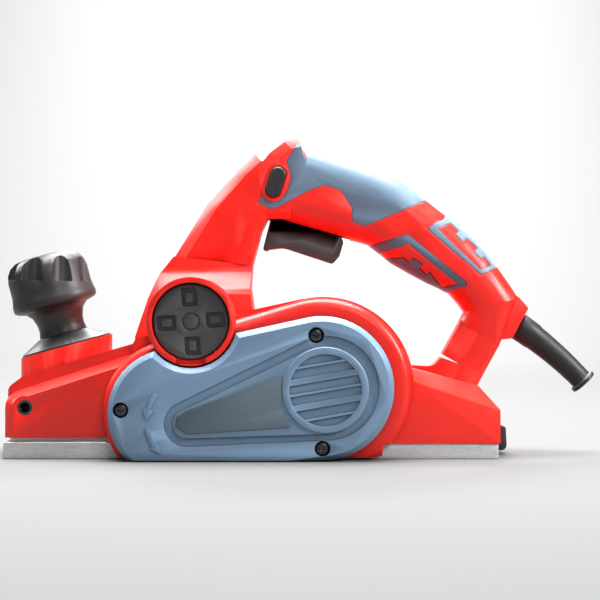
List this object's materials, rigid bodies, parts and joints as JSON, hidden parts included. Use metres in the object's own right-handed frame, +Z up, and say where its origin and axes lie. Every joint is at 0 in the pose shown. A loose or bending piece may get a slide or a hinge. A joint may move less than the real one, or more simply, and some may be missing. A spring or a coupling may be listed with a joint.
{
  "type": "electric hand planer",
  "caption": "Handheld electric planer with belt-driven cutter drum, sliding front shoe, depth knob, closed handle with trigger, chip port and belt cover.",
  "frame": {"origin": "middle of the rear sole's underside", "axes": "+X to the rear along the sole, +Y to the operator's right, +Z up"},
  "size_m": [0.3556, 0.1398, 0.1897],
  "materials": {
    "red_housing": "satin moulded",
    "blue_cover": "satin moulded",
    "soft_grip": "soft matte",
    "dark_grip": "soft matte",
    "badge_grey": "matte",
    "black_plastic": "fine texture",
    "rubber": "matte",
    "cast_aluminium": "ground",
    "drum_metal": "turned",
    "steel": "zinc plated",
    "copper": "enamelled wire",
    "brass": "turned",
    "carbon": "matte"
  },
  "bodies": {
    "root": {"base_frame": "cast_aluminium", "main_housing": "red_housing", "motor_end_cover": "red_housing", "handle_left": "red_housing", "handle_right": "red_housing", "upper_grip_left": "soft_grip", "upper_grip_right": "soft_grip", "lower_grip_left": "dark_grip", "lower_grip_right": "dark_grip", "rear_grip_left": "soft_grip", "rear_grip_right": "soft_grip", "handle_screws": "steel", "switch_body": "black_plastic", "cord_guard": "rubber", "cord_clamp": "black_plastic", "belt_cover": "blue_cover", "cover_badge": "badge_grey", "belt_cover_screws": "steel", "drive_belt": "rubber", "drum_bearing_outer_rings": "steel", "drum_bearing_balls": "steel", "motor_bearing_outer_rings": "steel", "motor_bearing_balls": "steel", "stator_core": "steel", "field_coils": "copper", "brush_holders": "black_plastic", "carbon_brushes": "carbon", "brush_caps": "black_plastic", "scale_ring": "black_plastic", "shoe_springs": "steel", "trigger_spring": "steel", "foot_pin": "steel", "base_screws": "steel", "motor_end_cover_screws": "steel", "fence_inserts": "brass"},
    "knob": {"depth_knob": "black_plastic", "depth_spindle": "steel"},
    "shoe": {"front_shoe": "cast_aluminium", "spindle_nut": "brass"},
    "drum": {"cutter_drum": "drum_metal", "blades": "steel", "blade_clamps": "drum_metal", "blade_clamp_bolts": "steel", "drum_bearing_inner_rings": "steel", "drum_pulley": "cast_aluminium", "drum_pulley_bolt": "steel"},
    "armature": {"armature_shaft": "steel", "armature_core": "steel", "armature_windings": "copper", "commutator": "copper", "cooling_fan": "black_plastic", "motor_bearing_inner_rings": "steel", "motor_pulley": "cast_aluminium", "motor_pulley_nut": "steel"},
    "trigger": {"trigger": "black_plastic", "switch_plunger": "black_plastic"},
    "lock": {"lock_button": "black_plastic"},
    "diverter": {"chip_diverter": "black_plastic"},
    "cap": {"port_cap": "black_plastic"},
    "foot": {"parking_foot": "black_plastic"}
  },
  "joints": [
    {"name": "knob_turn", "type": "hinge", "parent": "root", "child": "knob", "pos_m": [-0.1697, 0, 0.0647], "axis": [0.2588, 0, -0.9659], "range_deg": [0, 270]},
    {"name": "shoe_slide", "type": "slide", "parent": "root", "child": "shoe", "axis": [-0.2588, 0, 0.9659], "range_m": [0, 0.002], "deforming": ["shoe_springs"]},
    {"name": "drum_spin", "type": "hinge", "parent": "root", "child": "drum", "pos_m": [-0.091, 0, 0.0235], "axis": [0, 1, 0], "continuous": true},
    {"name": "armature_spin", "type": "hinge", "parent": "root", "child": "armature", "pos_m": [-0.0135, 0, 0.0415], "axis": [0, 1, 0], "continuous": true},
    {"name": "trigger_pull", "type": "slide", "parent": "root", "child": "trigger", "axis": [0.279, 0, 0.9603], "range_m": [0, 0.006], "stiffness_N_per_m": 800, "springref_m": -0.004, "deforming": ["trigger_spring"]},
    {"name": "lock_push", "type": "slide", "parent": "root", "child": "lock", "axis": [0, 1, 0], "range_m": [0, 0.003], "stiffness_N_per_m": 300, "springref_m": -0.002},
    {"name": "diverter_pull", "type": "slide", "parent": "root", "child": "diverter", "axis": [0, -1, 0], "range_m": [0, 0.115]},
    {"name": "cap_turn", "type": "hinge", "parent": "diverter", "child": "cap", "pos_m": [-0.091, -0.055, 0.0803], "axis": [0, -1, 0], "range_deg": [0, 30]},
    {"name": "foot_swing", "type": "hinge", "parent": "root", "child": "foot", "pos_m": [0.0928, 0, 0.0058], "axis": [0, 1, 0], "range_deg": [0, 160]}
  ],
  "couplings": [
    {"joint": "shoe_slide", "follows": "knob_turn", "m_per_rad": 0.0004244},
    {"joint": "armature_spin", "follows": "drum_spin", "ratio": 0.93333}
  ]
}
